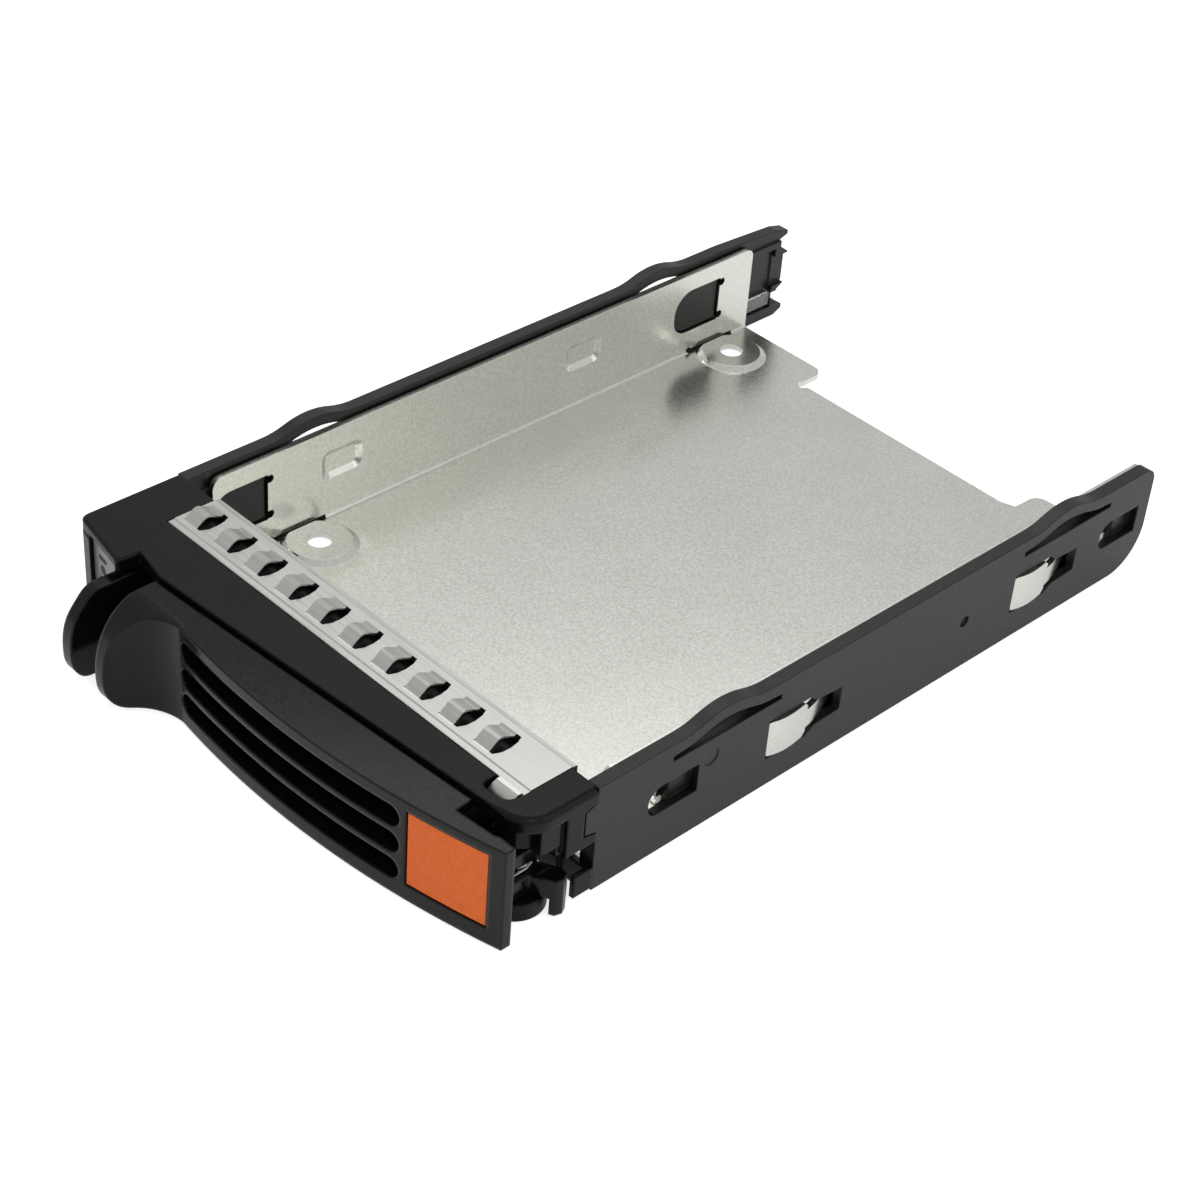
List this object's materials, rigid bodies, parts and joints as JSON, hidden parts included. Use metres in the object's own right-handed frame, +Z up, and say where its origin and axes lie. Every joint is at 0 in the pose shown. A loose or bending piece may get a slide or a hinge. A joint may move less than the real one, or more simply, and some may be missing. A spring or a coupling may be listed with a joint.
{
  "type": "hot swap drive caddy",
  "caption": "Hot-swap caddy for a 2.5-inch drive: sheet metal tray between two moulded rails, with a bezel, a contact strip and a swinging release lever held by a pinch latch.",
  "frame": {"origin": "middle of the caddy's width, at the underside of the rails, in the front plane of the bezel", "axes": "+X to the right seen from the front, +Y back along the rails towards the connector end, +Z up"},
  "size_m": [0.0769, 0.1329, 0.0162],
  "materials": {
    "galvanised_steel": "bright zinc-coated sheet, fine mottle",
    "stainless_steel": "bright rolled spring strip",
    "black_plastic": "fine satin moulded texture",
    "lever_plastic": "satin to semi-gloss moulding",
    "clear_plastic": "clear polished",
    "window_plastic": "smoked translucent",
    "orange_label": "smooth satin",
    "pin_steel": "ground"
  },
  "bodies": {
    "carrier": {"tray": "galvanised_steel", "contact_strip": "stainless_steel", "bezel": "black_plastic", "right_rail": "black_plastic", "left_rail": "black_plastic", "light_pipe": "clear_plastic", "indicator_window": "window_plastic", "lever_pivot_pin": "pin_steel", "lever_spring": "pin_steel", "latch_pivot_pin": "pin_steel", "latch_spring": "pin_steel"},
    "lever": {"release_lever": "lever_plastic", "lever_label": "orange_label"},
    "latch": {"latch": "lever_plastic"}
  },
  "joints": [
    {"name": "lever_swing", "type": "hinge", "parent": "carrier", "child": "lever", "pos_m": [0.0334, 0.0087, 0.0075], "axis": [0, 0, 1], "range_deg": [0, 50], "deforming": ["lever_spring"]},
    {"name": "latch_squeeze", "type": "hinge", "parent": "carrier", "child": "latch", "pos_m": [-0.026, 0.0076, 0.0075], "axis": [0, 0, 1], "range_deg": [0, 9], "stiffness_Nm_per_rad": 0.15, "springref_deg": -5.73, "deforming": ["latch_spring"]}
  ]
}
